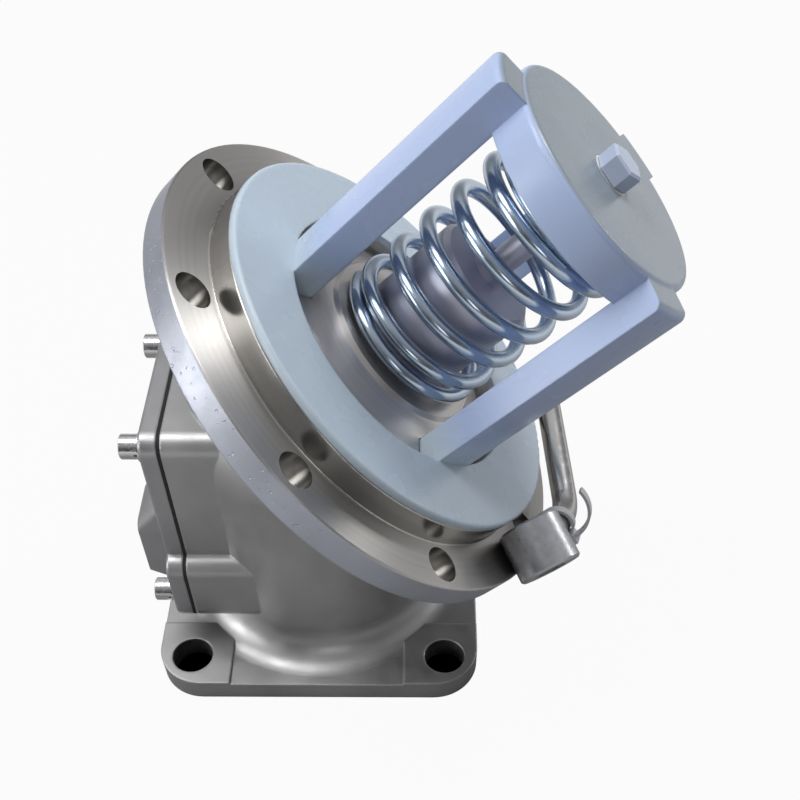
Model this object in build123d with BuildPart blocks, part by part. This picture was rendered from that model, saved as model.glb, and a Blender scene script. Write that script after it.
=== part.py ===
from build123d import *
import os
from math import asin, atan2, cos, radians, sin, sqrt

# An angle valve for the outlet of a tank. A spring holds a poppet down on its seat inside
# a guard cage, and a fork on a cross spindle lifts the poppet through a collar on its stem.
# Millimetres. The origin is the centre of the outlet face, +Z points up the outlet bore,
# and the inlet leans towards +X in the plane Y = 0.

# Foot: the square outlet flange
foot_side = 143.0
foot_thickness = 10.0
foot_corner_radius = 20.0
foot_pad_side = 33.0
foot_pad_height = 1.2
foot_bolt_circle = 160.0
foot_bolt_hole = 18.0
foot_root_fillet = 14.0

# Elbow: the cast bend between the two flanges
outlet_bore = 80.0
inlet_bore = 88.0
elbow_diameter = 106.0
elbow_height = 104.6
inlet_angle = 45.0
inlet_reach = 41.6

# Inlet flange with its raised boss and the seat of the poppet
flange_diameter = 200.0
flange_thickness = 12.0
flange_bolt_edge = 10.0
flange_bolt_count = 8
flange_bolt_hole = 14.0
boss_gap = 2.0
boss_height = 11.0
turned_edge = 0.8
seat_bore = 75.0
seat_lip_width = 3.8
seat_lip_height = 1.5
throat_length = 14.0

# Heel: the chamber on the back of the elbow, closed by a cover
heel_joint = 53.0
heel_top = 127.0
heel_step = 62.0
heel_bottom = 25.0
heel_upper_width = 80.0
heel_lower_width = 94.0
heel_corner_radius = 7.0
heel_depth = 43.0
heel_wall = 8.0
cavity_corner_radius = 4.0

# Cover, its joint sheet and its screws
gasket_thickness = 1.5
cover_thickness = 7.3
cover_edge_radius = 1.5
screw_diameter = 6.0
screw_head_diameter = 10.0
screw_length = 20.0
screw_key = 5.0
screw_tap_room = 1.0
screw_edge_distance = 11.0
upper_screw_inset = 10.0
lower_screw_inset = 9.0
flat_washer_diameter = 12.0
flat_washer_thickness = 1.6
spring_washer_thickness = 1.5
spring_washer_split = 1.0
screw_boss_diameter = 16.0

# Bulge on the cover, which holds the lower guide of the stem
bulge_base_width = 44.0
bulge_nose_width = 28.0
bulge_depth = 19.2
bulge_top = 80.0
bulge_nose_top = 51.0
bulge_bottom = 16.0
bulge_corner_radius = 5.0
guide_boss_diameter = 24.0
guide_boss_start = 112.0
guide_boss_root = 2.0
guide_bush_length = 18.0
guide_bush_wall = 3.0
guide_pocket_length = 16.0

# Guard cage around the poppet
cage_ring_thickness = 3.0
cage_ring_edge = 1.2
cage_bore = 110.0
cage_side_gap = 0.5
leg_count = 3
leg_depth = 11.5
leg_width = 19.0
leg_first_angle = 90.0
leg_top_drop = 0.8
leg_top_radius = 3.0
cap_diameter = 88.8
cap_underside = 97.7
cap_thickness = 14.8
cap_edge_radius = 2.4
snap_nose_depth = 1.5
snap_nose_height = 3.2
snap_nose_width = 12.0
snap_nose_start = 3.2

# Poppet with its soft seal, clamped on the stem
poppet_side_gap = 2.0
poppet_skirt = 0.5
poppet_shoulder = 3.6
poppet_shoulder_radius = 3.0
poppet_flank_top = 13.5
poppet_flank_diameter = 72.0
spring_seat = 15.0
spring_seat_diameter = 69.0
seal_thickness = 4.0
seal_inner_diameter = 60.0
retainer_thickness = 4.0
retainer_washer_diameter = 24.0
retainer_washer_thickness = 2.0
nut_flats = 17.0
nut_thickness = 8.0
guide_hub_diameter = 44.4
guide_hub_length = 43.0
guide_hub_edge = 2.0

# Stem
stem_diameter = 10.0
stem_shoulder_diameter = 15.0
stem_shoulder_length = 4.0
stem_nut_flats = 13.0
stem_nut_height = 7.2
stem_nut_crown = 2.0
stem_end_room = 2.0
cap_bush_wall = 3.0

# Spring
spring_diameter = 57.0
spring_wire = 6.0
spring_turns = 4.2
spring_end_turns = 0.9

# Lift gear: cross spindle, fork and collar
poppet_lift = 20.0
spindle_diameter = 14.0
spindle_offset = 26.5
spindle_depth = 72.0
spindle_blind_end = 36.0
handle_seat_diameter = 12.0
handle_seat_length = 21.0
handle_seat_room = 1.0
fork_arm = 28.0
fork_boss_diameter = 20.0
fork_boss_length = 40.0
fork_gap = 14.0
fork_prong_thickness = 5.0
fork_nose_radius = 5.0
collar_diameter = 28.0
collar_thickness = 6.0
pin_diameter = 4.0

# Bearings and gland of the spindle
bush_wall = 1.5
bearing_boss_diameter = 23.0
far_bearing_end = 44.0
gland_boss_diameter = 25.0
gland_boss_end = 52.0
packing_width = 2.8
packing_ring_thickness = 2.4
packing_rings = 2
gland_hex_flats = 22.0
gland_hex_height = 6.0

# Lever handle, taken off and tied to the inlet flange
handle_hub_diameter = 25.6
handle_hub_length = 20.4
handle_hub_angle = 232.65
handle_hub_inset = 4.4
handle_hub_turn = 220.0
handle_bar_diameter = 10.5
handle_bend_angle = 255.0
handle_bend_overhang = 0.4
handle_tip_angle = 301.4
handle_tip_overhang = 5.5
handle_bend_radius = 24.0
handle_socket_depth = 3.4
grub_screw_diameter = 6.0
grub_screw_key = 3.0

# Cable tie that holds the handle
tie_width = 3.6
tie_thickness = 1.2
tie_head_depth = 5.0
tie_head_width = 6.4
tie_head_height = 6.0
tie_tail_radius = 14.5
tie_tail_turn = 95.0

# Clearances
running_gap = 0.05
turning_gap = 0.3
joint_gap = 0.1
hole_gap = 0.02
loose_gap = 0.6

# Planes and axes
lean = radians(inlet_angle)
inlet_direction = Vector(sin(lean), 0, cos(lean))
elbow_centre = Vector(0, 0, elbow_height)
inlet_centre = elbow_centre + inlet_direction * inlet_reach
inlet_axis = Axis(inlet_centre, inlet_direction)
inlet_face = Plane(origin=inlet_centre, x_dir=(0, 1, 0), z_dir=inlet_direction)
inlet_section = Plane(origin=inlet_centre, x_dir=(0, 1, 0), z_dir=(cos(lean), 0, -sin(lean)))
cover_joint = Plane(origin=(-heel_joint, 0, 0), x_dir=(0, -1, 0), z_dir=(-1, 0, 0))
spindle_centre = inlet_face.from_local_coords(Vector(0, spindle_offset, -spindle_depth))
spindle_plane = Plane(origin=spindle_centre, x_dir=(1, 0, 0), z_dir=(0, 1, 0))
fork_plane = Plane(origin=spindle_centre, x_dir=(cos(lean), 0, -sin(lean)), z_dir=(0, -1, 0))

# Sizes that follow from the ones above
elbow_radius = elbow_diameter / 2
root_fillet = min(foot_root_fillet, foot_side / 2 - elbow_radius)
flange_radius = flange_diameter / 2
flange_bolt_radius = flange_radius - flange_bolt_edge
boss_radius = flange_bolt_radius - flange_bolt_hole / 2 - boss_gap
cage_radius = cage_bore / 2
leg_inner_radius = cage_radius - leg_depth
counterbore_radius = cage_radius + cage_side_gap
poppet_radius = cage_radius - poppet_side_gap
lip_radius = seat_bore / 2 + seat_lip_width
cap_top = cap_underside + cap_thickness
cover_inner = gasket_thickness
cover_outer = gasket_thickness + cover_thickness
screw_head_seat = cover_outer + flat_washer_thickness + spring_washer_thickness
stem_radius = stem_diameter / 2
stem_hole_radius = stem_radius + hole_gap
spindle_radius = spindle_diameter / 2
handle_seat_radius = handle_seat_diameter / 2
handle_seat_start = gland_boss_end + gland_hex_height + handle_seat_room
spindle_end = handle_seat_start + handle_seat_length
bush_radius = spindle_radius + bush_wall
lift_start = -asin(poppet_lift / 2 / fork_arm)
screw_places = [
    (side * (width / 2 - inset), height)
    for width, inset, height in (
        (heel_upper_width, upper_screw_inset, heel_top - screw_edge_distance),
        (heel_lower_width, lower_screw_inset, heel_bottom + screw_edge_distance),
    )
    for side in (-1, 1)
]


def heel_outline():
    """Stepped outline shared by the heel, the joint sheet and the cover."""
    for width, top in ((heel_upper_width, heel_top), (heel_lower_width, heel_step)):
        with Locations((0, (top + heel_bottom) / 2)):
            RectangleRounded(width, top - heel_bottom, heel_corner_radius)


def cavity_outline():
    """Inside of the heel, which leaves the two upper screw bosses standing in its corners."""
    cavity_height = heel_top - heel_bottom - 2 * heel_wall
    with Locations((0, heel_bottom + heel_wall + cavity_height / 2)):
        RectangleRounded(heel_upper_width - 2 * heel_wall, cavity_height, cavity_corner_radius)
    with Locations(*screw_places[:2]):
        Circle(screw_boss_diameter / 2, mode=Mode.SUBTRACT)


def leg_outline(width, inner_radius, outer_radius):
    """Sections of the cage's legs, bounded by two circles about the inlet axis."""
    with PolarLocations(outer_radius, leg_count, start_angle=leg_first_angle):
        Rectangle(outer_radius, width, align=(Align.MAX, Align.CENTER))
    Circle(outer_radius, mode=Mode.INTERSECT)
    Circle(inner_radius, mode=Mode.SUBTRACT)


# Valve body: foot, elbow, inlet flange and heel in one casting
with BuildPart() as valve_body:
    with BuildSketch(Plane.XY):
        RectangleRounded(foot_side, foot_side, foot_corner_radius)
    extrude(amount=foot_thickness)
    pad_reach = foot_side - foot_pad_side + foot_corner_radius
    with BuildSketch(Plane.XY.offset(foot_thickness)):
        with GridLocations(pad_reach, pad_reach, 2, 2):
            pad_square = foot_pad_side + foot_corner_radius
            RectangleRounded(pad_square, pad_square, foot_corner_radius / 2)
        RectangleRounded(foot_side, foot_side, foot_corner_radius, mode=Mode.INTERSECT)
    extrude(amount=foot_pad_height)

    # Neck of the outlet, with the wide fillet at its root
    with BuildSketch(Plane.XZ):
        with BuildLine():
            root_radius = elbow_radius + root_fillet
            root_top = foot_thickness + root_fillet
            Polyline((elbow_radius, root_top), (elbow_radius, elbow_height), (0, elbow_height),
                     (0, 0), (root_radius, 0), (root_radius, foot_thickness))
            CenterArc((root_radius, root_top), root_fillet, 180, 90)
        make_face()
    revolve(axis=Axis.Z)
    with Locations(elbow_centre):
        Sphere(elbow_radius)

    # Barrel, inlet flange and boss
    with BuildSketch(inlet_section):
        with BuildLine():
            FilletPolyline((elbow_radius, -inlet_reach), (elbow_radius, -flange_thickness),
                           (flange_radius, -flange_thickness), (flange_radius, 0),
                           (boss_radius, 0), (boss_radius, boss_height), (0, boss_height),
                           radius=turned_edge)
            Polyline((0, boss_height), (0, -inlet_reach), (elbow_radius, -inlet_reach))
        make_face()
    revolve(axis=inlet_axis)

    # Heel
    with BuildSketch(cover_joint):
        heel_outline()
    extrude(amount=-heel_depth)

    # Waterways: outlet bore, bend, inlet bore, seat and the counterbore of the cage
    with BuildSketch(Plane.XY):
        Circle(outlet_bore / 2)
    extrude(amount=elbow_height, mode=Mode.SUBTRACT)
    with Locations(elbow_centre):
        Sphere(inlet_bore / 2, mode=Mode.SUBTRACT)
    nose_groove_radius = counterbore_radius + snap_nose_depth
    nose_groove_low = snap_nose_start - turning_gap
    nose_groove_high = snap_nose_start + snap_nose_height + turning_gap
    with BuildSketch(inlet_section):
        Polygon(
            (0, -inlet_reach), (inlet_bore / 2, -inlet_reach), (inlet_bore / 2, -throat_length),
            (seat_bore / 2, -throat_length), (seat_bore / 2, 0), (lip_radius, 0),
            (lip_radius, -seat_lip_height), (counterbore_radius, -seat_lip_height),
            (counterbore_radius, nose_groove_low), (nose_groove_radius, nose_groove_low),
            (nose_groove_radius, nose_groove_high), (counterbore_radius, nose_groove_high),
            (counterbore_radius, boss_height), (0, boss_height), align=None,
        )
    revolve(axis=inlet_axis, mode=Mode.SUBTRACT)
    with BuildSketch(cover_joint):
        cavity_outline()
    extrude(amount=-(heel_depth + heel_wall / 2), mode=Mode.SUBTRACT)

    # Bearing bosses inside the heel, and the gland boss on the far side
    inner_wall = heel_upper_width / 2 - heel_wall
    bearing_face = fork_boss_length / 2 + turning_gap
    for side in (-1, 1):
        with BuildSketch(spindle_plane.offset(side * bearing_face)):
            Circle(bearing_boss_diameter / 2)
        extrude(amount=side * (inner_wall + heel_wall / 2 - bearing_face))
    with BuildSketch(spindle_plane.offset(inner_wall + heel_wall / 2)):
        Circle(gland_boss_diameter / 2)
    extrude(amount=gland_boss_end - inner_wall - heel_wall / 2)

    # Holes for the bushes, the packing and the spindle
    with BuildSketch(spindle_plane.offset(-spindle_blind_end)):
        Circle(bush_radius + hole_gap)
    extrude(amount=spindle_blind_end + far_bearing_end, mode=Mode.SUBTRACT)
    packing_radius = spindle_radius + packing_width
    with BuildSketch(spindle_plane.offset(far_bearing_end)):
        Circle(packing_radius + hole_gap)
    extrude(amount=gland_boss_end - far_bearing_end, mode=Mode.SUBTRACT)

    # Bolt holes and the tapped holes of the cover
    foot_bolt_spacing = foot_bolt_circle / sqrt(2)
    with BuildSketch(Plane.XY):
        with GridLocations(foot_bolt_spacing, foot_bolt_spacing, 2, 2):
            Circle(foot_bolt_hole / 2)
    extrude(amount=foot_thickness + foot_pad_height, mode=Mode.SUBTRACT)
    with BuildSketch(inlet_face):
        first_bolt = 180 / flange_bolt_count
        with PolarLocations(flange_bolt_radius, flange_bolt_count, start_angle=first_bolt):
            Circle(flange_bolt_hole / 2)
    extrude(amount=-flange_thickness, mode=Mode.SUBTRACT)
    with BuildSketch(cover_joint):
        with Locations(*screw_places):
            Circle(screw_diameter / 2 + hole_gap)
    extrude(amount=-(screw_length - screw_head_seat + screw_tap_room), mode=Mode.SUBTRACT)
valve_body.part.label = "valve_body"


# Joint sheet under the cover
with BuildPart() as cover_gasket:
    with BuildSketch(cover_joint):
        heel_outline()
        with BuildSketch(cover_joint, mode=Mode.SUBTRACT):
            cavity_outline()
        with Locations(*screw_places):
            Circle(screw_diameter / 2 + turning_gap, mode=Mode.SUBTRACT)
    extrude(amount=gasket_thickness)
cover_gasket.part.label = "cover_gasket"


# Cover with its bulge, the boss of the lower stem guide and the blind pocket behind it
with BuildPart() as cover_plate:
    with BuildSketch(cover_joint.offset(cover_inner)):
        heel_outline()
    extrude(amount=cover_thickness)
    fillet(cover_plate.faces().sort_by(Axis.X)[0].edges(), cover_edge_radius)
    with BuildSketch(cover_joint.offset(cover_outer - cover_edge_radius)):
        with Locations((0, (bulge_top + bulge_bottom) / 2)):
            RectangleRounded(bulge_base_width, bulge_top - bulge_bottom, bulge_corner_radius)
    with BuildSketch(cover_joint.offset(cover_outer + bulge_depth)):
        with Locations((0, (bulge_nose_top + bulge_bottom) / 2)):
            nose_height = bulge_nose_top - bulge_bottom
            RectangleRounded(bulge_nose_width, nose_height, bulge_corner_radius)
    loft()
    with BuildSketch(inlet_face.offset(-guide_boss_start)):
        Circle(guide_boss_diameter / 2)
    extrude(amount=-(guide_bush_length + guide_boss_root))
    with BuildSketch(inlet_face.offset(-guide_boss_start)):
        Circle(stem_radius + guide_bush_wall + hole_gap)
    extrude(amount=-guide_bush_length, mode=Mode.SUBTRACT)
    with BuildSketch(inlet_face.offset(-guide_boss_start - guide_bush_length)):
        Circle(stem_radius + loose_gap)
    extrude(amount=-guide_pocket_length, mode=Mode.SUBTRACT)
    with BuildSketch(cover_joint.offset(cover_inner)):
        with Locations(*screw_places):
            Circle(screw_diameter / 2 + turning_gap)
    extrude(amount=cover_thickness, mode=Mode.SUBTRACT)
cover_plate.part.label = "cover_plate"


# Cover screws with their flat and spring washers
with BuildPart() as cover_flat_washers:
    with BuildSketch(cover_joint.offset(cover_outer)):
        with Locations(*screw_places):
            Circle(flat_washer_diameter / 2)
            Circle(screw_diameter / 2 + turning_gap, mode=Mode.SUBTRACT)
    extrude(amount=flat_washer_thickness)
cover_flat_washers.part.label = "cover_flat_washers"

with BuildPart() as cover_spring_washers:
    with BuildSketch(cover_joint.offset(cover_outer + flat_washer_thickness)):
        with Locations(*screw_places):
            Circle(screw_head_diameter / 2)
            Circle(screw_diameter / 2 + turning_gap, mode=Mode.SUBTRACT)
        split_offset = (screw_head_diameter + screw_diameter) / 4
        with Locations(*[(x + split_offset, y) for x, y in screw_places]):
            Rectangle(screw_head_diameter - screw_diameter, spring_washer_split,
                      mode=Mode.SUBTRACT)
    extrude(amount=spring_washer_thickness)
cover_spring_washers.part.label = "cover_spring_washers"

with BuildPart() as cover_screws:
    head_plane = cover_joint.offset(screw_head_seat)
    with BuildSketch(head_plane):
        with Locations(*screw_places):
            Circle(screw_head_diameter / 2)
    extrude(amount=screw_diameter)
    chamfer(cover_screws.faces().sort_by(Axis.X)[:4].edges(), turned_edge / 2)
    with BuildSketch(head_plane):
        with Locations(*screw_places):
            Circle(screw_diameter / 2)
    extrude(amount=-screw_length)
    with BuildSketch(head_plane.offset(screw_diameter)):
        with Locations(*screw_places):
            RegularPolygon(screw_key / 2, 6, major_radius=False)
    extrude(amount=-screw_diameter / 2, mode=Mode.SUBTRACT)
cover_screws.part.label = "cover_screws"


# Guard cage: ring, legs and cap in one moulding, snapped into the counterbore
with BuildPart() as cage:
    with BuildSketch(inlet_face.offset(-seat_lip_height)):
        leg_outline(leg_width, leg_inner_radius, cage_radius)
    extrude(amount=cap_top + seat_lip_height - leg_top_drop)
    leg_tops = cage.faces().sort_by(inlet_axis)[-leg_count:]
    outer_rims = leg_tops.edges().filter_by(
        lambda edge: edge.geom_type == GeomType.CIRCLE and edge.radius > cap_diameter / 2)
    fillet(outer_rims, leg_top_radius)
    with BuildSketch(inlet_section):
        with Locations((0, cap_underside)):
            Rectangle(cap_diameter / 2, cap_thickness, align=(Align.MIN, Align.MIN))
        cap_rim = vertices().group_by(Axis.X)[-1].sort_by(Axis.Y)[-1]
        fillet(cap_rim, cap_edge_radius)
    revolve(axis=inlet_axis)
    with BuildSketch(inlet_section):
        with Locations((cage_radius, boss_height)):
            ring_width = boss_radius - cage_radius
            Rectangle(ring_width, cage_ring_thickness, align=(Align.MIN, Align.MIN))
        ring_rim = vertices().group_by(Axis.X)[-1].sort_by(Axis.Y)[-1]
        fillet(ring_rim, cage_ring_edge)
    revolve(axis=inlet_axis)
    with BuildSketch(inlet_face.offset(snap_nose_start)):
        leg_outline(snap_nose_width, cage_radius - snap_nose_depth, cage_radius + snap_nose_depth)
    extrude(amount=snap_nose_height)
    with BuildSketch(inlet_face.offset(cap_underside)):
        Circle(stem_radius + cap_bush_wall + hole_gap)
    extrude(amount=cap_thickness, mode=Mode.SUBTRACT)
cage.part.label = "cage"

with BuildPart() as cap_bush:
    with BuildSketch(inlet_face.offset(cap_underside)):
        Circle(stem_radius + cap_bush_wall)
        Circle(stem_radius + running_gap, mode=Mode.SUBTRACT)
    extrude(amount=cap_thickness)
cap_bush.part.label = "cap_bush"


# Poppet: a turned dish with notches that clear the cage's legs
seal_top = joint_gap + seal_thickness
seal_radius = lip_radius + turning_gap
with BuildPart() as poppet_disc:
    with BuildSketch(inlet_section):
        with BuildLine():
            shoulder_point = (poppet_radius, poppet_shoulder)
            shoulder_top = (poppet_radius - poppet_shoulder_radius,
                            poppet_shoulder + poppet_shoulder_radius)
            flank_top = (poppet_flank_diameter / 2, poppet_flank_top)
            Polyline(flank_top, (spring_seat_diameter / 2, spring_seat),
                     (stem_hole_radius, spring_seat), (stem_hole_radius, seal_top),
                     (seal_radius + joint_gap, seal_top),
                     (seal_radius + joint_gap, -poppet_skirt),
                     (poppet_radius, -poppet_skirt), shoulder_point)
            RadiusArc(shoulder_point, shoulder_top, -poppet_shoulder_radius)
            Line(shoulder_top, flank_top)
        make_face()
    revolve(axis=inlet_axis)
    with BuildSketch(inlet_face.offset(-poppet_skirt)):
        leg_outline(leg_width + 2 * loose_gap, leg_inner_radius - turning_gap, cage_radius)
    extrude(amount=spring_seat + poppet_skirt, mode=Mode.SUBTRACT)
poppet_disc.part.label = "poppet_disc"

with BuildPart() as poppet_seal:
    with BuildSketch(inlet_section):
        Polygon((seal_inner_diameter / 2, joint_gap), (seal_radius, joint_gap),
                (seal_radius, seal_top), (seal_inner_diameter / 2, seal_top), align=None)
    revolve(axis=inlet_axis)
poppet_seal.part.label = "poppet_seal"

with BuildPart() as seal_retainer:
    spigot_radius = seal_inner_diameter / 2 - hole_gap
    retainer_radius = seat_bore / 2 - 2 * loose_gap
    with BuildSketch(inlet_section):
        Polygon((stem_hole_radius, seal_top), (spigot_radius, seal_top),
                (spigot_radius, joint_gap), (retainer_radius, joint_gap),
                (retainer_radius, joint_gap - retainer_thickness),
                (stem_hole_radius, joint_gap - retainer_thickness), align=None)
    revolve(axis=inlet_axis)
seal_retainer.part.label = "seal_retainer"

retainer_face = joint_gap - retainer_thickness
with BuildPart() as retainer_washer:
    with BuildSketch(inlet_face.offset(retainer_face)):
        Circle(retainer_washer_diameter / 2)
        Circle(stem_hole_radius, mode=Mode.SUBTRACT)
    extrude(amount=-retainer_washer_thickness)
retainer_washer.part.label = "retainer_washer"

with BuildPart() as retainer_nut:
    with BuildSketch(inlet_face.offset(retainer_face - retainer_washer_thickness)):
        RegularPolygon(nut_flats / 2, 6, major_radius=False)
        Circle(stem_hole_radius, mode=Mode.SUBTRACT)
    extrude(amount=-nut_thickness)
retainer_nut.part.label = "retainer_nut"

with BuildPart() as guide_hub:
    with BuildSketch(inlet_face.offset(spring_seat)):
        Circle(guide_hub_diameter / 2)
        Circle(stem_hole_radius, mode=Mode.SUBTRACT)
    extrude(amount=guide_hub_length)
    hub_top = guide_hub.faces().sort_by(inlet_axis)[-1]
    chamfer(hub_top.edges().sort_by(SortBy.LENGTH)[-1], guide_hub_edge)
guide_hub.part.label = "guide_hub"


# Stem, from the pocket in the cover up through the cap
stem_low = guide_boss_start + guide_bush_length + guide_pocket_length - stem_end_room
stem_nut_start = cap_top + turning_gap
stem_high = stem_nut_start + stem_nut_height - stem_nut_crown
hub_end = spring_seat + guide_hub_length
collar_face = -spindle_depth - fork_arm * sin(-lift_start) + fork_nose_radius + turning_gap
with BuildPart() as stem:
    with BuildSketch(inlet_section):
        Polygon((0, -stem_low), (stem_radius - turned_edge, -stem_low),
                (stem_radius, -stem_low + turned_edge), (stem_radius, hub_end),
                (stem_shoulder_diameter / 2, hub_end),
                (stem_shoulder_diameter / 2, hub_end + stem_shoulder_length),
                (stem_radius, hub_end + stem_shoulder_length), (stem_radius, stem_high),
                (0, stem_high), align=None)
    revolve(axis=inlet_axis)
    pin_plane = Plane(origin=inlet_face.from_local_coords(
        Vector(0, 0, collar_face + collar_thickness / 2)), z_dir=(0, 1, 0))
    with BuildSketch(pin_plane):
        Circle(pin_diameter / 2 + hole_gap)
    extrude(amount=stem_diameter, both=True, mode=Mode.SUBTRACT)
stem.part.label = "stem"

with BuildPart() as stem_end_nut:
    with BuildSketch(inlet_face.offset(stem_nut_start)):
        RegularPolygon(stem_nut_flats / 2, 6, major_radius=False)
    extrude(amount=stem_nut_height)
    chamfer(stem_end_nut.faces().sort_by(inlet_axis)[-1].edges(), turned_edge)
    with BuildSketch(inlet_face.offset(stem_nut_start)):
        Circle(stem_hole_radius)
    extrude(amount=stem_high + hole_gap - stem_nut_start, mode=Mode.SUBTRACT)
stem_end_nut.part.label = "stem_end_nut"

with BuildPart() as lift_collar:
    with BuildSketch(inlet_face.offset(collar_face)):
        Circle(collar_diameter / 2)
        Circle(stem_hole_radius, mode=Mode.SUBTRACT)
    extrude(amount=collar_thickness)
    with BuildSketch(pin_plane):
        Circle(pin_diameter / 2 + hole_gap)
    extrude(amount=collar_diameter, both=True, mode=Mode.SUBTRACT)
lift_collar.part.label = "lift_collar"

with BuildPart() as collar_pin:
    with BuildSketch(pin_plane):
        Circle(pin_diameter / 2)
    extrude(amount=collar_diameter / 2 - turned_edge, both=True)
collar_pin.part.label = "collar_pin"


# Spring between the poppet and the cap, with a closed turn at each end
spring_low = spring_seat + spring_wire / 2 + joint_gap
spring_high = cap_underside - spring_wire / 2 - joint_gap
end_rise = spring_end_turns * (spring_wire + turning_gap)
free_rise = spring_high - spring_low - 2 * end_rise
spring_coils = []
coil_turn = 0.0
coil_height = spring_low
for turns, rise in ((spring_end_turns, end_rise), (spring_turns, free_rise),
                    (spring_end_turns, end_rise)):
    coil_angle = radians(coil_turn)
    coil_start = inlet_face.from_local_coords(Vector(cos(coil_angle), sin(coil_angle), 0))
    coil_centre = inlet_face.from_local_coords(Vector(0, 0, coil_height))
    coil_plane = Plane(coil_centre, x_dir=coil_start - inlet_centre, z_dir=inlet_direction)
    spring_coils.append(coil_plane * Helix(rise / turns, rise, spring_diameter / 2))
    coil_turn += 360 * turns
    coil_height += rise
with BuildPart() as valve_spring:
    for coil in spring_coils:
        with BuildSketch(Plane(origin=coil @ 0, z_dir=coil % 0)):
            Circle(spring_wire / 2)
        sweep(path=coil)
valve_spring.part.label = "valve_spring"


# Cross spindle, stepped down to the handle's round seat
with BuildPart() as spindle:
    with BuildSketch(spindle_plane.offset(-spindle_blind_end + turning_gap)):
        Circle(spindle_radius)
    extrude(amount=handle_seat_start + spindle_blind_end - turning_gap)
    with BuildSketch(spindle_plane.offset(handle_seat_start)):
        Circle(handle_seat_radius)
    extrude(amount=handle_seat_length)
    chamfer(spindle.faces().sort_by(Axis.Y)[-1].edges(), turned_edge)
    cross_pin_offset = (fork_boss_length / 2 + fork_gap / 2 + fork_prong_thickness) / 2
    cross_pin_plane = Plane(
        origin=spindle_centre - Vector(0, cross_pin_offset, 0), z_dir=inlet_direction)
    with BuildSketch(cross_pin_plane):
        Circle(pin_diameter / 2 + hole_gap)
    extrude(amount=spindle_diameter, both=True, mode=Mode.SUBTRACT)
spindle.part.label = "spindle"

# Fork that lifts the collar, with the top of each prong level with the collar at rest
with BuildPart() as crank_fork:
    with BuildSketch(fork_plane.offset(-fork_boss_length / 2)):
        Circle(fork_boss_diameter / 2)
    extrude(amount=fork_boss_length)
    nose_x = fork_arm * cos(lift_start)
    nose_y = fork_arm * sin(lift_start)
    prong_top = nose_y + fork_nose_radius
    prong_back = spindle_offset - collar_diameter / 2 + loose_gap
    for prong_start in (fork_gap / 2, -fork_gap / 2 - fork_prong_thickness):
        with BuildSketch(fork_plane.offset(prong_start)):
            with BuildLine():
                Polyline((0, 0), (0, -fork_boss_diameter / 2),
                         (nose_x, nose_y - fork_nose_radius), (nose_x, prong_top),
                         (prong_back, prong_top), (0, 0))
            make_face()
            with Locations((nose_x, nose_y)):
                Circle(fork_nose_radius)
        extrude(amount=fork_prong_thickness)
    with BuildSketch(spindle_plane.offset(-fork_boss_length / 2)):
        Circle(spindle_radius + hole_gap)
    extrude(amount=fork_boss_length, mode=Mode.SUBTRACT)
    with BuildSketch(cross_pin_plane):
        Circle(pin_diameter / 2 + hole_gap)
    extrude(amount=fork_boss_diameter, both=True, mode=Mode.SUBTRACT)
crank_fork.part.label = "crank_fork"

with BuildPart() as crank_pin:
    with BuildSketch(cross_pin_plane):
        Circle(pin_diameter / 2)
    extrude(amount=fork_boss_diameter / 2 - turned_edge, both=True)
crank_pin.part.label = "crank_pin"


# Bushes, packing and gland nut of the spindle
with BuildPart() as spindle_bush_inner:
    with BuildSketch(spindle_plane.offset(-spindle_blind_end)):
        Circle(bush_radius)
        Circle(spindle_radius + running_gap, mode=Mode.SUBTRACT)
    extrude(amount=spindle_blind_end - bearing_face)
spindle_bush_inner.part.label = "spindle_bush_inner"

with BuildPart() as spindle_bush_outer:
    with BuildSketch(spindle_plane.offset(bearing_face)):
        Circle(bush_radius)
        Circle(spindle_radius + running_gap, mode=Mode.SUBTRACT)
    extrude(amount=far_bearing_end - bearing_face)
spindle_bush_outer.part.label = "spindle_bush_outer"

packing_height = packing_rings * packing_ring_thickness
with BuildPart() as gland_packing:
    for ring in range(packing_rings):
        with BuildSketch(spindle_plane.offset(far_bearing_end + ring * packing_ring_thickness)):
            Circle(packing_radius)
            Circle(spindle_radius + running_gap, mode=Mode.SUBTRACT)
        extrude(amount=packing_ring_thickness - hole_gap)
gland_packing.part.label = "gland_packing"

with BuildPart() as gland_nut:
    with BuildSketch(spindle_plane.offset(far_bearing_end + packing_height)):
        Circle(packing_radius)
    extrude(amount=gland_boss_end - far_bearing_end - packing_height)
    with BuildSketch(spindle_plane.offset(gland_boss_end)):
        RegularPolygon(gland_hex_flats / 2, 6, major_radius=False)
    extrude(amount=gland_hex_height)
    with BuildSketch(spindle_plane.offset(far_bearing_end)):
        Circle(spindle_radius + running_gap)
    extrude(amount=spindle_end, mode=Mode.SUBTRACT)
gland_nut.part.label = "gland_nut"

with BuildPart() as stem_guide_bush:
    with BuildSketch(inlet_face.offset(-guide_boss_start)):
        Circle(stem_radius + guide_bush_wall)
        Circle(stem_radius + running_gap, mode=Mode.SUBTRACT)
    extrude(amount=-guide_bush_length)
stem_guide_bush.part.label = "stem_guide_bush"


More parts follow.
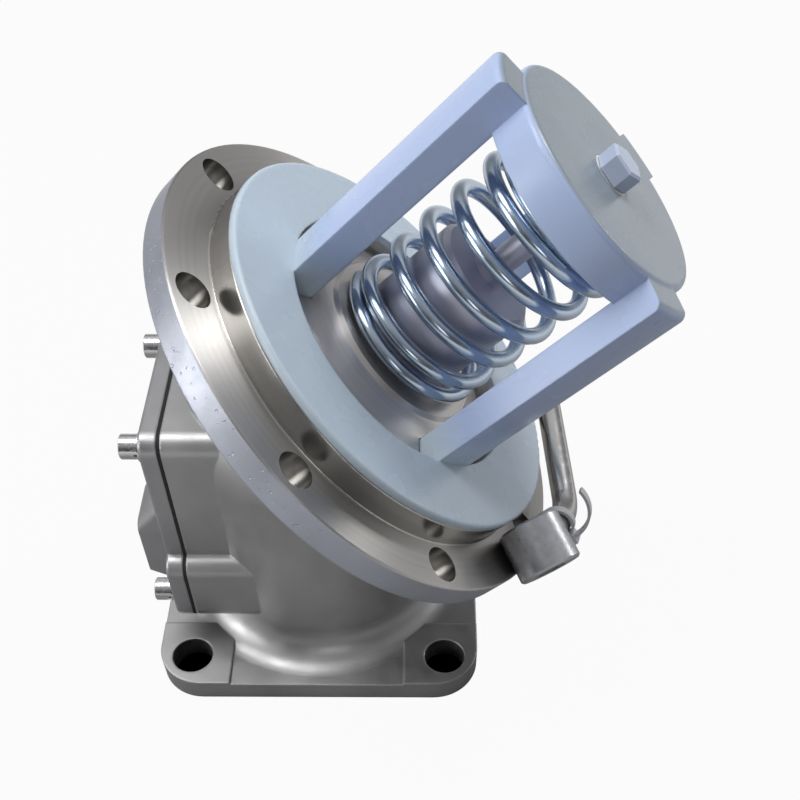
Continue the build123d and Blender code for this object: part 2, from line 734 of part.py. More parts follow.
# Handle, lying on the inlet flange: hub, bent bar and grub screw
handle_height = handle_hub_diameter / 2 + joint_gap
hub_turn = radians(handle_hub_turn)
hub_point, bend_point, tip_point = (
    Vector(reach * cos(radians(angle)), reach * sin(radians(angle)), handle_height)
    for angle, reach in (
        (handle_hub_angle, flange_radius - handle_hub_inset),
        (handle_bend_angle, flange_radius + handle_bend_overhang),
        (handle_tip_angle, flange_radius + handle_tip_overhang),
    )
)
neck_direction = (bend_point - hub_point).normalized()
neck_turn = atan2(neck_direction.Y, neck_direction.X)
neck_skew = cos(neck_turn - (hub_turn + radians(90)))
bar_start_distance = (handle_hub_diameter / 2 - handle_socket_depth) / abs(neck_skew)
bar_start = hub_point + neck_direction * bar_start_distance
hub_plane = Plane(
    origin=inlet_face.from_local_coords(hub_point),
    x_dir=inlet_direction,
    z_dir=inlet_face.from_local_coords(hub_point + Vector(cos(hub_turn), sin(hub_turn), 0))
    - inlet_face.from_local_coords(hub_point),
)
with BuildPart() as handle_bar:
    with BuildLine(inlet_face):
        bar_points = [tuple(point) for point in (bar_start, bend_point, tip_point)]
        FilletPolyline(*bar_points, radius=handle_bend_radius)
    bar_line = handle_bar.pending_edges_as_wire
    with BuildSketch(Plane(origin=bar_line @ 0, z_dir=bar_line % 0)):
        Circle(handle_bar_diameter / 2)
    sweep()
    chamfer(handle_bar.faces().sort_by(Axis.Y)[-1].edges(), turned_edge)
handle_bar.part.label = "handle_bar"

socket_plane = Plane(origin=inlet_face.from_local_coords(bar_start), z_dir=bar_line % 0)
with BuildPart() as handle_hub:
    with BuildSketch(hub_plane):
        Circle(handle_hub_diameter / 2)
    extrude(amount=handle_hub_length / 2, both=True)
    chamfer(handle_hub.edges().filter_by(GeomType.CIRCLE), turned_edge)
    with BuildSketch(hub_plane):
        Circle(handle_seat_radius + joint_gap)
    extrude(amount=handle_hub_length, both=True, mode=Mode.SUBTRACT)
    with BuildSketch(socket_plane):
        Circle(handle_bar_diameter / 2 + hole_gap)
    extrude(amount=handle_hub_diameter, mode=Mode.SUBTRACT)
    grub_plane = Plane(origin=hub_plane.origin, x_dir=hub_plane.z_dir, z_dir=-inlet_direction)
    with BuildSketch(grub_plane):
        Circle(grub_screw_diameter / 2 + hole_gap)
    extrude(amount=handle_hub_diameter, mode=Mode.SUBTRACT)
handle_hub.part.label = "handle_hub"

grub_low = handle_seat_radius + turned_edge
grub_length = handle_hub_diameter / 2 - grub_low - turned_edge / 2
with BuildPart() as handle_set_screw:
    with BuildSketch(grub_plane.offset(grub_low)):
        Circle(grub_screw_diameter / 2)
    extrude(amount=grub_length)
    with BuildSketch(grub_plane.offset(grub_low + grub_length)):
        RegularPolygon(grub_screw_key / 2, 6, major_radius=False)
    extrude(amount=-grub_length / 2, mode=Mode.SUBTRACT)
handle_set_screw.part.label = "handle_set_screw"


# Cable tie: a flat strap through one bolt hole, over the handle's neck and round the rim
tie_bolt_index = flange_bolt_count * 5 // 8
tie_turn = radians(first_bolt + 360 / flange_bolt_count * tie_bolt_index)
tie_out = Vector(cos(tie_turn), sin(tie_turn), 0)
hub_cross = hub_point.X * tie_out.Y - hub_point.Y * tie_out.X
bend_cross = bend_point.X * tie_out.Y - bend_point.Y * tie_out.X
tie_share = hub_cross / (hub_cross - bend_cross)
tie_bar_point = hub_point + (bend_point - hub_point) * tie_share
tie_bar_radius = tie_bar_point.X * tie_out.X + tie_bar_point.Y * tie_out.Y
tie_grip = handle_bar_diameter / 2 + loose_gap + joint_gap
tie_inner = tie_bar_radius - tie_grip
tie_outer = tie_bar_radius + tie_grip
tie_rim = flange_radius + joint_gap
tie_low = -flange_thickness - joint_gap
tie_plane = Plane(
    origin=inlet_centre,
    x_dir=inlet_face.from_local_coords(tie_out) - inlet_centre,
    z_dir=(inlet_face.from_local_coords(tie_out) - inlet_centre).cross(inlet_direction),
)
with BuildPart() as cable_tie:
    with BuildSketch(tie_plane):
        with BuildLine():
            Polyline((tie_outer, handle_height), (tie_rim, 0), (tie_rim, tie_low),
                     (tie_inner, tie_low), (tie_inner, handle_height))
            CenterArc((tie_bar_radius, handle_height), tie_grip, 0, 180)
        make_face()
        fillet(vertices().group_by(Axis.Y)[0], turned_edge + joint_gap)
        strap_inside = edges()
        offset(amount=tie_thickness)
        make_face(strap_inside, mode=Mode.SUBTRACT)
    extrude(amount=tie_width / 2, both=True)
    tie_head_x = tie_outer + tie_head_depth / 2
    with BuildSketch(tie_plane):
        with Locations((tie_head_x, handle_height)):
            Rectangle(tie_head_depth, tie_head_height)
    extrude(amount=tie_head_width / 2, both=True)
    with BuildSketch(tie_plane):
        with BuildLine():
            tail_start = (tie_head_x, handle_height + tie_head_height / 2)
            JernArc(tail_start, (0, 1), tie_tail_radius, tie_tail_turn)
        trace(line_width=tie_thickness)
    extrude(amount=tie_width / 2, both=True)
cable_tie.part.label = "cable_tie"


# One file for each piece
os.makedirs("parts", exist_ok=True)
for piece in (valve_body, cover_gasket, cover_plate, cover_flat_washers, cover_spring_washers,
              cover_screws, cage, cap_bush, poppet_disc, poppet_seal, seal_retainer,
              retainer_washer, retainer_nut, guide_hub, stem, stem_end_nut, lift_collar,
              collar_pin, valve_spring, spindle, crank_fork, crank_pin, spindle_bush_inner,
              spindle_bush_outer, gland_packing, gland_nut, stem_guide_bush, handle_bar,
              handle_hub, handle_set_screw, cable_tie):
    export_step(piece.part, f"parts/{piece.part.label}.step")
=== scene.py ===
import bpy
import math
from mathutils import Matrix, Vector


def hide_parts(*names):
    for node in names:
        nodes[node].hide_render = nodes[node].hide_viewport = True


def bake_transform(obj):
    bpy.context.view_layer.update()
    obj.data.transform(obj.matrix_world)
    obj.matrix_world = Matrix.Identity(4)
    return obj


# The valve as it is built: cast body, flanges, cover, cage, poppet and spring, lift gear and
# the loose handle. All lengths are metres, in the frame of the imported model.
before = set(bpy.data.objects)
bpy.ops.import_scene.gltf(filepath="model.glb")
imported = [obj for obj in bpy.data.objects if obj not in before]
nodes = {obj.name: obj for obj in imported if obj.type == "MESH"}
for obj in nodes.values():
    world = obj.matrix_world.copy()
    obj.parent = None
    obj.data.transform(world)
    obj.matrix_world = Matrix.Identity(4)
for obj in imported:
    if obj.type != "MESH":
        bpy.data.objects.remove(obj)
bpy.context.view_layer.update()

# Camera: the photograph looks steeply down on the valve from its -Y side.
# The lens, place and shift come from fitting the flanges and the cage to the picture.
camera_data = bpy.data.cameras.new("camera")
camera_data.lens = 48.25
camera_data.sensor_width = 36.0
camera_data.shift_x = -0.0204
camera_data.shift_y = 0.2204
camera = bpy.data.objects.new("camera", camera_data)
camera.location = (0.0464, -0.3272, 0.4117)
camera.rotation_euler = (math.radians(38.29), math.radians(0.12), math.radians(0.34))
bpy.context.scene.collection.objects.link(camera)
bpy.context.scene.camera = camera

# Studio: a white floor with a painted shadow under the foot and painted shade in its reflections
# near the valve, a pale room that is darker in front and low down, and soft lamps.
# Steel shows the dark bands and the lamps as its streaks.
view_settings = bpy.context.scene.view_settings
view_settings.view_transform = "Standard"
floor_size = 6.0
floor_mesh = bpy.data.meshes.new("floor")
floor_half = floor_size / 2
floor_mesh.from_pydata(
    [(-floor_half, -floor_half, 0), (floor_half, -floor_half, 0),
     (floor_half, floor_half, 0), (-floor_half, floor_half, 0)], [], [(0, 1, 2, 3)])
floor = bpy.data.objects.new("floor", floor_mesh)
bpy.context.scene.collection.objects.link(floor)
floor_finish = bpy.data.materials.new("floor_white")
floor_finish.use_nodes = True
floor_nodes = floor_finish.node_tree.nodes
floor_links = floor_finish.node_tree.links
floor_nodes.clear()
floor_output = floor_nodes.new("ShaderNodeOutputMaterial")
floor_mix = floor_nodes.new("ShaderNodeMixShader")
floor_diffuse = floor_nodes.new("ShaderNodeBsdfDiffuse")
floor_glow = floor_nodes.new("ShaderNodeEmission")
floor_glow.inputs["Color"].default_value = (1, 1, 1, 1)
floor_path = floor_nodes.new("ShaderNodeLightPath")
foot_half = 0.0715
foot_corner = 0.020
foot_margin = 0.0025
floor_pale = 0.32
floor_white_share = 0.95
floor_mirrored_share = 0.75
floor_mirror_start, floor_mirror_end = 0.06, 0.60


def floor_maths(operation, *inputs):
    """One sum in the floor's material."""
    made = floor_nodes.new("ShaderNodeMath")
    made.operation = operation
    for index, value in enumerate(inputs):
        if isinstance(value, bpy.types.NodeSocket):
            floor_links.new(value, made.inputs[index])
        else:
            made.inputs[index].default_value = value
    return made.outputs[0]


def floor_climb(value, start, end, top):
    """Climbs from 0 to top while a distance on the floor goes from start to end."""
    climb = floor_nodes.new("ShaderNodeMapRange")
    for socket, number in (("From Min", start), ("From Max", end), ("To Max", top)):
        climb.inputs[socket].default_value = number
    floor_links.new(value, climb.inputs["Value"])
    return climb.outputs["Result"]


floor_place = floor_nodes.new("ShaderNodeSeparateXYZ")
floor_links.new(floor_nodes.new("ShaderNodeTexCoord").outputs["Object"], floor_place.inputs[0])
floor_past_corner = [
    floor_maths("MAXIMUM", floor_maths(
        "SUBTRACT", floor_maths("ABSOLUTE", floor_place.outputs[axis]),
        foot_half - foot_corner), 0.0)
    for axis in ("X", "Y")
]
floor_reach = floor_maths("SQRT", floor_maths(
    "ADD", floor_maths("POWER", floor_past_corner[0], 2.0),
    floor_maths("POWER", floor_past_corner[1], 2.0)))
# Painted shadow: under the foot the floor's colour and its glow go to black, so the bolt holes look
# into shade.
floor_clear_of_painted_shadow = floor_climb(floor_reach, foot_corner - foot_margin, foot_corner, 1.0)
floor_colour = floor_nodes.new("ShaderNodeCombineColor")
for socket in floor_colour.inputs[:3]:
    floor_links.new(floor_maths("MULTIPLY", floor_clear_of_painted_shadow, floor_pale), socket)
floor_links.new(floor_colour.outputs[0], floor_diffuse.inputs["Color"])
floor_seen = floor_maths(
    "MULTIPLY", floor_path.outputs["Is Camera Ray"],
    floor_maths("MULTIPLY", floor_clear_of_painted_shadow, floor_white_share))
floor_shown = floor_maths("MAXIMUM", floor_path.outputs["Is Glossy Ray"],
                          floor_path.outputs["Is Transmission Ray"])
# Painted shade in reflections: close to the valve the floor's glow is kept from glossy rays, so
# steel mirrors a darker floor there.
floor_mirrored = floor_maths("MULTIPLY", floor_shown,
                             floor_climb(floor_reach, floor_mirror_start, floor_mirror_end,
                                         floor_mirrored_share))
floor_links.new(floor_maths("MAXIMUM", floor_seen, floor_mirrored), floor_mix.inputs[0])
floor_links.new(floor_diffuse.outputs[0], floor_mix.inputs[1])
floor_links.new(floor_glow.outputs[0], floor_mix.inputs[2])
floor_links.new(floor_mix.outputs[0], floor_output.inputs["Surface"])
floor_mesh.materials.append(floor_finish)

world = bpy.data.worlds.new("studio")
bpy.context.scene.world = world
world.use_nodes = True
world_nodes = world.node_tree.nodes
world_links = world.node_tree.links
world_nodes.clear()
world_output = world_nodes.new("ShaderNodeOutputWorld")
world_sky = world_nodes.new("ShaderNodeBackground")
world_place = world_nodes.new("ShaderNodeTexCoord")
world_split = world_nodes.new("ShaderNodeSeparateXYZ")
world_ramp = world_nodes.new("ShaderNodeValToRGB")
world_links.new(world_place.outputs["Generated"], world_split.inputs[0])
world_links.new(world_split.outputs["Z"], world_ramp.inputs["Fac"])
world_links.new(world_ramp.outputs["Color"], world_sky.inputs["Color"])
world_front = world_nodes.new("ShaderNodeMapRange")
front_shade, back_shade = 0.25, 1.1
for socket_name, number in (("From Min", -1.0), ("From Max", 0.4),
                            ("To Min", front_shade), ("To Max", back_shade)):
    world_front.inputs[socket_name].default_value = number
world_links.new(world_split.outputs["Y"], world_front.inputs["Value"])
world_links.new(world_front.outputs["Result"], world_sky.inputs["Strength"])
world_white = world_nodes.new("ShaderNodeBackground")
world_white.inputs["Color"].default_value = (0.97, 0.97, 0.97, 1)
world_mix = world_nodes.new("ShaderNodeMixShader")
world_path = world_nodes.new("ShaderNodeLightPath")
world_links.new(world_path.outputs["Is Camera Ray"], world_mix.inputs[0])
world_links.new(world_sky.outputs[0], world_mix.inputs[1])
world_links.new(world_white.outputs[0], world_mix.inputs[2])
world_links.new(world_mix.outputs[0], world_output.inputs["Surface"])
room_shades = ((0.0, 0.42), (0.20, 0.22), (0.45, 0.30), (0.75, 0.66), (1.0, 0.54))
for index, (height, shade) in enumerate(room_shades):
    stops = world_ramp.color_ramp.elements
    stop = stops[index] if index < 2 else stops.new(height)
    stop.position = height
    stop.color = (shade, shade, shade * 1.03, 1)

lamps = (
    ("lamp_above", (-0.45, 0.05, 1.10), 0.50, 4.8),
    ("lamp_behind", (0.52, 0.42, 1.05), 0.30, 3.2),
    ("lamp_left", (-1.15, -0.38, 0.46), 0.70, 5.6),
    ("lamp_right", (1.10, 0.55, 0.45), 0.30, 1.4),
    ("lamp_front", (0.10, -1.20, 0.60), 0.40, 0.8),
)
for lamp_name, place, size, power in lamps:
    lamp_data = bpy.data.lights.new(lamp_name, "AREA")
    lamp_data.shape = "DISK"
    lamp_data.size = size
    lamp_data.energy = power
    lamp = bpy.data.objects.new(lamp_name, lamp_data)
    lamp.location = place
    lamp.visible_camera = False
    aim = Vector((0.03, 0.0, 0.12)) - Vector(place)
    lamp.rotation_euler = aim.to_track_quat("-Z", "Y").to_euler()
    bpy.context.scene.collection.objects.link(lamp)


# Valve body: one stainless casting, bead-blasted, with both flanges machined.
# The inlet flange and its boss are turned, so their faces carry fine rings about the inlet axis.
inlet_reach = 0.0416
inlet_axis = Vector((math.sqrt(0.5), 0, math.sqrt(0.5)))
inlet_side = Vector((0, 1, 0))
inlet_up = inlet_axis.cross(inlet_side)
inlet_centre = Vector((0, 0, 0.1046)) + inlet_axis * inlet_reach
boss_radius = 0.081
boss_height = 0.011
flange_radius = 0.100
flange_depth = 0.012
counterbore_radius = 0.0555
counterbore_depth = 0.016
counterbore_lip = 0.003
face_margin = 0.0009
hole_margin = 0.001
side_margin = 0.0012
root_margin = 0.002
end_margin = 0.0005


def along_inlet(point):
    """Height of a point over the inlet face and its distance from the inlet axis."""
    offset = Vector(point) - inlet_centre
    height = offset.dot(inlet_axis)
    return height, (offset - inlet_axis * height).length


class Finish:
    """A material whose nodes read Object coordinates."""

    def __init__(self, name, colour, roughness, metallic=0.0, **settings):
        self.material = bpy.data.materials.new(name)
        self.material.use_nodes = True
        self.nodes = self.material.node_tree.nodes
        self.links = self.material.node_tree.links
        self.shader = self.nodes["Principled BSDF"]
        self.shader.inputs["Base Color"].default_value = (*colour, 1)
        self.shader.inputs["Roughness"].default_value = roughness
        self.shader.inputs["Metallic"].default_value = metallic
        for socket, value in settings.items():
            self.shader.inputs[socket.replace("_", " ")].default_value = value
        self.place = self.nodes.new("ShaderNodeTexCoord").outputs["Object"]
        self.relief = None

    def node(self, kind, *inputs, **settings):
        made = self.nodes.new("ShaderNode" + kind)
        for key, value in settings.items():
            setattr(made, key, value)
        for index, value in enumerate(inputs):
            self.feed(value, made.inputs[index])
        return made

    def feed(self, value, socket):
        if value is None:
            return
        if isinstance(value, bpy.types.NodeSocket):
            self.links.new(value, socket)
        else:
            socket.default_value = value

    def maths(self, operation, *inputs):
        return self.node("Math", *inputs, operation=operation).outputs[0]

    def grain(self, size, detail=2.0, place=None):
        """Noise with lumps of about this size."""
        noise = self.node("TexNoise", place or self.place)
        noise.inputs["Scale"].default_value = 1 / size
        noise.inputs["Detail"].default_value = detail
        return noise.outputs["Fac"]

    def spread(self, value, low, high, start=0.3, end=0.7):
        """Maps a noise to a range."""
        ranged = self.node("MapRange", value)
        ranged.inputs["From Min"].default_value = start
        ranged.inputs["From Max"].default_value = end
        ranged.inputs["To Min"].default_value = low
        ranged.inputs["To Max"].default_value = high
        return ranged.outputs["Result"]

    def colours(self, value, first, second):
        """Colour between two, by a value from 0 to 1."""
        mix = self.node("Mix", value, data_type="RGBA")
        mix.inputs[6].default_value = (*first, 1)
        mix.inputs[7].default_value = (*second, 1)
        return mix.outputs[2]

    def tint(self, colour_a, colour_b, value):
        self.links.new(self.colours(value, colour_a, colour_b), self.shader.inputs["Base Color"])

    def gloss(self, low, high, value, start=0.3, end=0.7):
        self.links.new(self.spread(value, low, high, start, end), self.shader.inputs["Roughness"])

    def soften(self, radius):
        """Rounds the sharp edges in the shading."""
        self.relief = self.node("Bevel", radius, samples=4).outputs["Normal"]
        self.links.new(self.relief, self.shader.inputs["Normal"])

    def bump(self, value, depth, strength=1.0):
        """Adds relief of this depth under what is there."""
        bump = self.node("Bump")
        bump.inputs["Strength"].default_value = strength
        bump.inputs["Distance"].default_value = depth
        self.links.new(value, bump.inputs["Height"])
        if self.relief is not None:
            self.links.new(self.relief, bump.inputs["Normal"])
        self.relief = bump.outputs["Normal"]
        self.links.new(self.relief, self.shader.inputs["Normal"])

    def axial(self):
        """Height along the inlet axis, and the offset across it."""
        offset = self.node("VectorMath", self.place, tuple(inlet_centre), operation="SUBTRACT")
        height = self.node("VectorMath", offset.outputs[0], tuple(inlet_axis),
                           operation="DOT_PRODUCT").outputs["Value"]
        along = self.node("VectorMath", tuple(inlet_axis), operation="SCALE")
        self.links.new(height, along.inputs["Scale"])
        across = self.node("VectorMath", offset.outputs[0], along.outputs[0],
                           operation="SUBTRACT").outputs[0]
        return height, across

    def rings(self, size):
        """Fine turning marks about the inlet axis: noise that depends on radius and height only."""
        height, across = self.axial()
        radius = self.node("VectorMath", across, operation="LENGTH").outputs["Value"]
        place = self.node("CombineXYZ", radius, height).outputs[0]
        return self.grain(size, 3.0, place)

    def turned(self, share):
        """Stretches highlights across the turning marks."""
        self.shader.inputs["Anisotropic"].default_value = share
        self.links.new(self.axial()[1], self.shader.inputs["Tangent"])


def cast_finish(name, dark, light, roughness):
    """Bead-blasted stainless casting."""
    finish = Finish(name, light, roughness, 1.0)
    finish.tint(dark, light, finish.spread(finish.grain(0.035, 3.0), 0.0, 1.0))
    finish.gloss(roughness - 0.04, roughness + 0.06, finish.grain(0.008, 3.0))
    finish.soften(0.0012)
    finish.bump(finish.grain(0.02, 2.0), 0.0005, 0.2)
    finish.bump(finish.grain(0.0007, 2.0), 0.00008, 0.4)
    return finish


body_cast = cast_finish("body_cast", (0.40, 0.40, 0.40), (0.52, 0.52, 0.52), 0.42)

# The rim's cast grain is its own; its blue cast is a painted reflection, the colour of light rather
# than of the steel.
rim_cast = cast_finish("rim_cast", (0.37, 0.385, 0.43), (0.47, 0.495, 0.56), 0.46)
rim_pits = rim_cast.spread(rim_cast.grain(0.0018, 1.0), 0.0, 1.0, 0.26, 0.32)
rim_cast.bump(rim_pits, 0.0002, 0.6)

turned_face = Finish("turned_face", (0.52, 0.50, 0.48), 0.40, 1.0)
turned_face.tint((0.48, 0.465, 0.445), (0.62, 0.605, 0.585), turned_face.rings(0.0016))
turned_face.gloss(0.36, 0.44, turned_face.rings(0.0006))
turned_face.bump(turned_face.rings(0.0004), 0.00002, 0.5)
turned_face.turned(0.9)

boss_side = Finish("boss_side", (0.46, 0.45, 0.44), 0.22, 1.0)
boss_side.tint((0.40, 0.39, 0.37), (0.54, 0.53, 0.51), boss_side.rings(0.0012))
boss_side.gloss(0.18, 0.28, boss_side.grain(0.02, 3.0))
boss_side.bump(boss_side.rings(0.0005), 0.00002, 0.5)

# Painted shade: the walls of the bolt holes get a dark steel colour that stands in for the shade
# deep in the holes.
hole_painted_shade = Finish("hole_painted_shade", (0.20, 0.19, 0.18), 0.30, 1.0)
hole_painted_shade.tint((0.14, 0.13, 0.12), (0.28, 0.27, 0.25), hole_painted_shade.grain(0.003, 3.0))

body_parts = ("cast", "rim", "face", "side", "hole")
body_node = nodes["valve_body"]
body_node.data.materials.clear()
for finish in (body_cast, rim_cast, turned_face, boss_side, hole_painted_shade):
    body_node.data.materials.append(finish.material)


def body_part(polygon):
    """Which finish a facet of the body has, from where it lies."""
    height, radius = along_inlet(polygon.center)
    facing = polygon.normal.dot(inlet_axis)
    above_back = height > -flange_depth - end_margin
    if facing > 0.85 and abs(height) < face_margin:
        return "face"
    if height > -face_margin and radius > boss_radius + root_margin and facing > 0.3:
        return "face"
    # Bolt hole walls take the dark painted-shade finish.
    if abs(facing) < 0.3 and above_back and height < 0 and (
            boss_radius + hole_margin < radius < flange_radius - hole_margin):
        return "hole"
    if height > 0 and radius > boss_radius - side_margin:
        return "side"
    if height > -counterbore_depth and radius < counterbore_radius + counterbore_lip:
        return "face"
    if height > boss_height - end_margin:
        return "face"
    if abs(radius - flange_radius) < side_margin and above_back:
        return "rim"
    return "cast"


for polygon in body_node.data.polygons:
    polygon.material_index = body_parts.index(body_part(polygon))


# Back cover and its joint sheet: a casting like the body, over a black rubber sheet.
# Four socket screws hold it, each on a spring washer and a flat washer.
def dress(node_name, finish):
    """Gives a CAD piece its finish."""
    data = nodes[node_name].data
    data.materials.clear()
    data.materials.append(finish.material)


cover_cast = cast_finish("cover_cast", (0.38, 0.38, 0.39), (0.48, 0.48, 0.49), 0.42)
dress("cover_plate", cover_cast)

sheet_rubber = Finish("sheet_rubber", (0.012, 0.012, 0.013), 0.7)
sheet_rubber.bump(sheet_rubber.grain(0.001), 0.0001, 0.4)
dress("cover_gasket", sheet_rubber)

fastener_steel = Finish("fastener_steel", (0.72, 0.72, 0.72), 0.2, 1.0)
fastener_steel.tint((0.58, 0.58, 0.58), (0.80, 0.80, 0.80), fastener_steel.grain(0.002, 3.0))
fastener_steel.gloss(0.14, 0.3, fastener_steel.grain(0.001, 2.0))
fastener_steel.bump(fastener_steel.grain(0.0004), 0.00003, 0.4)
for node_name in ("cover_screws", "cover_flat_washers", "cover_spring_washers", "crank_pin",
                  "collar_pin", "retainer_washer", "retainer_nut", "gland_nut",
                  "handle_set_screw"):
    dress(node_name, fastener_steel)


# Guard cage: one moulding in cool white plastic, with a ring, three legs and a cap.
# It is a little translucent, with softly rounded corners; the top of its cap carries painted shade.
cage_plastic = Finish("cage_plastic", (0.58, 0.67, 0.84), 0.30, IOR=1.5)
ring_colour = (0.55, 0.65, 0.74)
leg_colour = (0.46, 0.56, 0.80)
# Painted shade: the cap's top, the faces that look along the inlet axis, takes this darker colour;
# the cap's sides keep the legs' colour.
cap_top_painted_shade = (0.27, 0.32, 0.37)
ring_end, leg_start = 0.0145, 0.030
leg_end, cap_start = 0.088, 0.108
cage_height = cage_plastic.axial()[0]
cage_low = cage_plastic.colours(
    cage_plastic.spread(cage_height, 0.0, 1.0, ring_end, leg_start), ring_colour, leg_colour)
cage_facing = cage_plastic.node(
    "VectorMath", cage_plastic.node("NewGeometry").outputs["Normal"], tuple(inlet_axis),
    operation="DOT_PRODUCT").outputs["Value"]
# Painted shade: on the cap, faces turned along the axis are mixed towards the darker top colour.
cage_mix = cage_plastic.node(
    "Mix", cage_plastic.maths(
        "MULTIPLY", cage_plastic.spread(cage_height, 0.0, 1.0, leg_end, cap_start),
        cage_plastic.spread(cage_facing, 0.0, 1.0, 0.6, 0.95)), data_type="RGBA")
cage_plastic.links.new(cage_low, cage_mix.inputs[6])
cage_mix.inputs[7].default_value = (*cap_top_painted_shade, 1)
cage_plastic.links.new(cage_mix.outputs[2], cage_plastic.shader.inputs["Base Color"])
cage_plastic.gloss(0.22, 0.32, cage_plastic.grain(0.02, 2.0), 0.15, 0.85)
cage_plastic.soften(0.0010)
cage_plastic.shader.inputs["Subsurface Weight"].default_value = 0.12
cage_plastic.shader.inputs["Subsurface Radius"].default_value = (0.003, 0.004, 0.006)
cage_plastic.shader.inputs["Subsurface Scale"].default_value = 1.0
dress("cage", cage_plastic)

nut_plastic = Finish("nut_plastic", (0.50, 0.58, 0.74), 0.28)
nut_plastic.bump(nut_plastic.grain(0.002), 0.0001, 0.3)
dress("stem_end_nut", nut_plastic)

bearing_plastic = Finish("bearing_plastic", (0.82, 0.82, 0.80), 0.45)
bearing_plastic.bump(bearing_plastic.grain(0.001), 0.00005, 0.3)
for node_name in ("cap_bush", "stem_guide_bush"):
    dress(node_name, bearing_plastic)

soft_white = Finish("soft_white", (0.88, 0.88, 0.86), 0.5)
soft_white.bump(soft_white.grain(0.0015), 0.0001, 0.4)
for node_name in ("poppet_seal", "gland_packing"):
    dress(node_name, soft_white)

bearing_bronze = Finish("bearing_bronze", (0.62, 0.42, 0.20), 0.4, 1.0)
bearing_bronze.bump(bearing_bronze.grain(0.0006), 0.00004, 0.4)
for node_name in ("spindle_bush_inner", "spindle_bush_outer"):
    dress(node_name, bearing_bronze)


# Poppet, guide hub and stem: turned stainless, clamped together on the stem.
# The fork's collar and the seal's retainer are like the poppet, the spindle like the handle's bar.
poppet_steel = Finish("poppet_steel", (0.44, 0.43, 0.42), 0.30, 1.0)
poppet_steel.tint((0.48, 0.46, 0.45), (0.60, 0.58, 0.56), poppet_steel.rings(0.0014))
poppet_steel.gloss(0.32, 0.42, poppet_steel.rings(0.0007))
poppet_steel.bump(poppet_steel.rings(0.0005), 0.00002, 0.5)
poppet_steel.turned(0.5)
for node_name in ("poppet_disc", "seal_retainer", "lift_collar"):
    dress(node_name, poppet_steel)

hub_steel = Finish("hub_steel", (0.42, 0.46, 0.54), 0.30, 1.0)
# The noise runs from bluish grey to lighter pink patches; the pink patches are painted reflections.
hub_steel.tint((0.50, 0.56, 0.68), (0.66, 0.60, 0.66), hub_steel.grain(0.016, 1.0))
hub_steel.gloss(0.46, 0.54, hub_steel.grain(0.010, 2.0))
hub_steel.bump(hub_steel.rings(0.0006), 0.00002, 0.5)
for node_name in ("guide_hub", "stem"):
    dress(node_name, hub_steel)

bar_steel = Finish("bar_steel", (0.50, 0.50, 0.49), 0.18, 1.0)
bar_steel.tint((0.42, 0.42, 0.41), (0.58, 0.58, 0.57), bar_steel.grain(0.006, 4.0))
bar_steel.gloss(0.13, 0.26, bar_steel.grain(0.003, 3.0))
bar_steel.bump(bar_steel.grain(0.0008), 0.00003, 0.4)
for node_name in ("spindle", "handle_bar"):
    dress(node_name, bar_steel)
dress("crank_fork", body_cast)


# Valve spring: round wire, bright with a blue cast, coiled with a closed turn at each end.
# Its lower end rides on the poppet and its upper end stands under the cap.
spring_radius = 0.0285
wire_radius = 0.003
spring_low = 0.0181
spring_high = 0.0946
end_turns = 1.05
free_turns = 4.2
end_pitch = 0.0063
spring_start_angle = 1.26
coil_point_count = 420
wire_sides = 20

coil_tree = bpy.data.node_groups.new("coil", "GeometryNodeTree")
for socket_name, default in (("Radius", spring_radius), ("Wire radius", wire_radius),
                             ("Low", spring_low), ("High", spring_high),
                             ("End turns", end_turns), ("Free turns", free_turns),
                             ("End pitch", end_pitch), ("Start angle", spring_start_angle)):
    socket = coil_tree.interface.new_socket(
        socket_name, in_out="INPUT", socket_type="NodeSocketFloat")
    socket.default_value = default
coil_tree.interface.new_socket("Finish", in_out="INPUT", socket_type="NodeSocketMaterial")
coil_tree.interface.new_socket("Geometry", in_out="OUTPUT", socket_type="NodeSocketGeometry")
coil_group_in = coil_tree.nodes.new("NodeGroupInput")
coil_group_out = coil_tree.nodes.new("NodeGroupOutput")


def coil_node(kind, *inputs, **settings):
    """A node of the coil's tree, fed in order."""
    made = coil_tree.nodes.new(kind)
    for key, value in settings.items():
        setattr(made, key, value)
    for index, value in enumerate(inputs):
        if isinstance(value, bpy.types.NodeSocket):
            coil_tree.links.new(value, made.inputs[index])
        elif value is not None:
            made.inputs[index].default_value = value
    return made


def coil_maths(operation, *inputs):
    """One sum in the coil's tree."""
    return coil_node("ShaderNodeMath", *inputs, operation=operation).outputs[0]


def coil_stretch(value, start, end, rise):
    """Climbs from 0 to rise while value goes from start to end."""
    climb = coil_node("ShaderNodeMapRange", value, start, end, 0.0, rise, clamp=True)
    return climb.outputs["Result"]


coil_in = coil_group_in.outputs
coil_total = coil_maths(
    "ADD", coil_maths("MULTIPLY", coil_in["End turns"], 2.0), coil_in["Free turns"])
coil_end_rise = coil_maths("MULTIPLY", coil_in["End turns"], coil_in["End pitch"])
coil_free_rise = coil_maths(
    "SUBTRACT", coil_maths("SUBTRACT", coil_in["High"], coil_in["Low"]),
    coil_maths("MULTIPLY", coil_end_rise, 2.0))
coil_line = coil_node("GeometryNodeCurvePrimitiveLine")
coil_points = coil_node("GeometryNodeResampleCurve", coil_line.outputs["Curve"])
coil_points.inputs["Count"].default_value = coil_point_count
coil_factor = coil_node("GeometryNodeSplineParameter").outputs["Factor"]
coil_turns = coil_maths("MULTIPLY", coil_factor, coil_total)
coil_angle = coil_maths("ADD", coil_maths("MULTIPLY", coil_turns, 2 * math.pi),
                        coil_in["Start angle"])
coil_upper = coil_maths("ADD", coil_in["End turns"], coil_in["Free turns"])
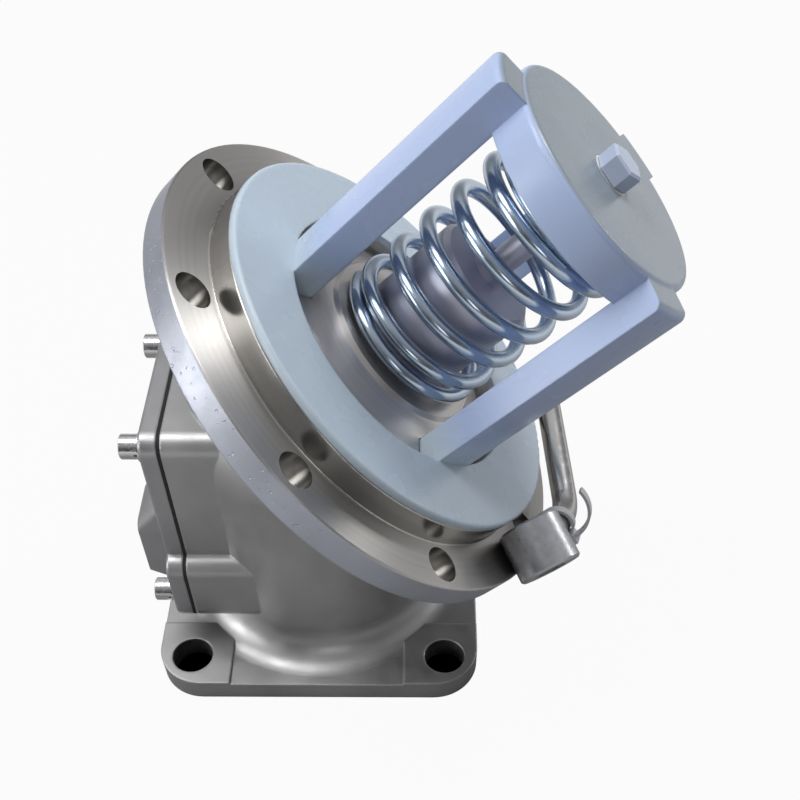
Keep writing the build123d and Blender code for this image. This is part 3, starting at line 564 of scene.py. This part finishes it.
coil_height = coil_maths(
    "ADD", coil_stretch(coil_turns, 0.0, coil_in["End turns"], coil_end_rise),
    coil_maths(
        "ADD", coil_stretch(coil_turns, coil_in["End turns"], coil_upper, coil_free_rise),
        coil_stretch(coil_turns, coil_upper, coil_total, coil_end_rise)))
coil_place = coil_node(
    "ShaderNodeCombineXYZ",
    coil_maths("MULTIPLY", coil_maths("COSINE", coil_angle), coil_in["Radius"]),
    coil_maths("MULTIPLY", coil_maths("SINE", coil_angle), coil_in["Radius"]),
    coil_maths("ADD", coil_height, coil_in["Low"]))
coil_curve = coil_node("GeometryNodeSetPosition", coil_points.outputs[0])
coil_tree.links.new(coil_place.outputs[0], coil_curve.inputs["Position"])
coil_profile = coil_node("GeometryNodeCurvePrimitiveCircle")
coil_profile.inputs["Resolution"].default_value = wire_sides
coil_tree.links.new(coil_in["Wire radius"], coil_profile.inputs["Radius"])
coil_mesh = coil_node("GeometryNodeCurveToMesh", coil_curve.outputs[0],
                      coil_profile.outputs["Curve"])
coil_mesh.inputs["Fill Caps"].default_value = True
coil_smooth = coil_node("GeometryNodeSetShadeSmooth", coil_mesh.outputs[0])
coil_real = coil_node("GeometryNodeRealizeInstances", coil_smooth.outputs[0])
coil_done = coil_node("GeometryNodeSetMaterial", coil_real.outputs[0])
coil_tree.links.new(coil_in["Finish"], coil_done.inputs["Material"])
coil_tree.links.new(coil_done.outputs[0], coil_group_out.inputs[0])

spring_wire = Finish("spring_wire", (0.46, 0.57, 0.72), 0.17, 1.0)
spring_wire.tint((0.42, 0.52, 0.66), (0.58, 0.66, 0.74), spring_wire.grain(0.012, 3.0))
spring_wire.gloss(0.17, 0.26, spring_wire.grain(0.003, 3.0))
spring_wire.bump(spring_wire.grain(0.0009), 0.00002, 0.4)


def grown(tree, piece_name, **values):
    """A plain mesh from a node tree, as an object at the origin."""
    carrier = bpy.data.objects.new(piece_name + "_tree", bpy.data.meshes.new(piece_name))
    bpy.context.scene.collection.objects.link(carrier)
    modifier = carrier.modifiers.new("tree", "NODES")
    modifier.node_group = tree
    sockets = {item.name: item.identifier for item in tree.interface.items_tree
               if item.in_out == "INPUT"}
    for key, value in values.items():
        modifier[sockets[key.replace("_", " ")]] = value
    evaluated = carrier.evaluated_get(bpy.context.evaluated_depsgraph_get())
    mesh = bpy.data.meshes.new_from_object(evaluated)
    bpy.data.objects.remove(carrier)
    piece = bpy.data.objects.new(piece_name, mesh)
    bpy.context.scene.collection.objects.link(piece)
    return piece


def stand_on_inlet(mesh):
    """Turns a mesh built along Z so that it stands on the inlet face."""
    for vertex in mesh.vertices:
        x, y, z = vertex.co
        vertex.co = inlet_centre + inlet_side * x + inlet_up * y + inlet_axis * z
    mesh.update()


spring = grown(coil_tree, "spring_coil", Finish=spring_wire.material)
stand_on_inlet(spring.data)
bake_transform(spring)
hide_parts("valve_spring")


# Handle: a turned hub with a bent bar, taken off and tied to the inlet flange.
# The hub has a machined skin, the bar is dressed above, and the tie is plain natural nylon.
hub_skin = Finish("hub_skin", (0.50, 0.49, 0.48), 0.32, 1.0)
hub_skin.tint((0.36, 0.36, 0.37), (0.56, 0.58, 0.61), hub_skin.grain(0.005, 4.0))
hub_skin.gloss(0.26, 0.40, hub_skin.grain(0.002, 3.0))
hub_skin.bump(hub_skin.grain(0.0007), 0.00006, 0.5)
dress("handle_hub", hub_skin)

tie_nylon = Finish("tie_nylon", (0.60, 0.61, 0.62), 0.4)
tie_nylon.bump(tie_nylon.grain(0.001), 0.00005, 0.3)
dress("cable_tie", tie_nylon)
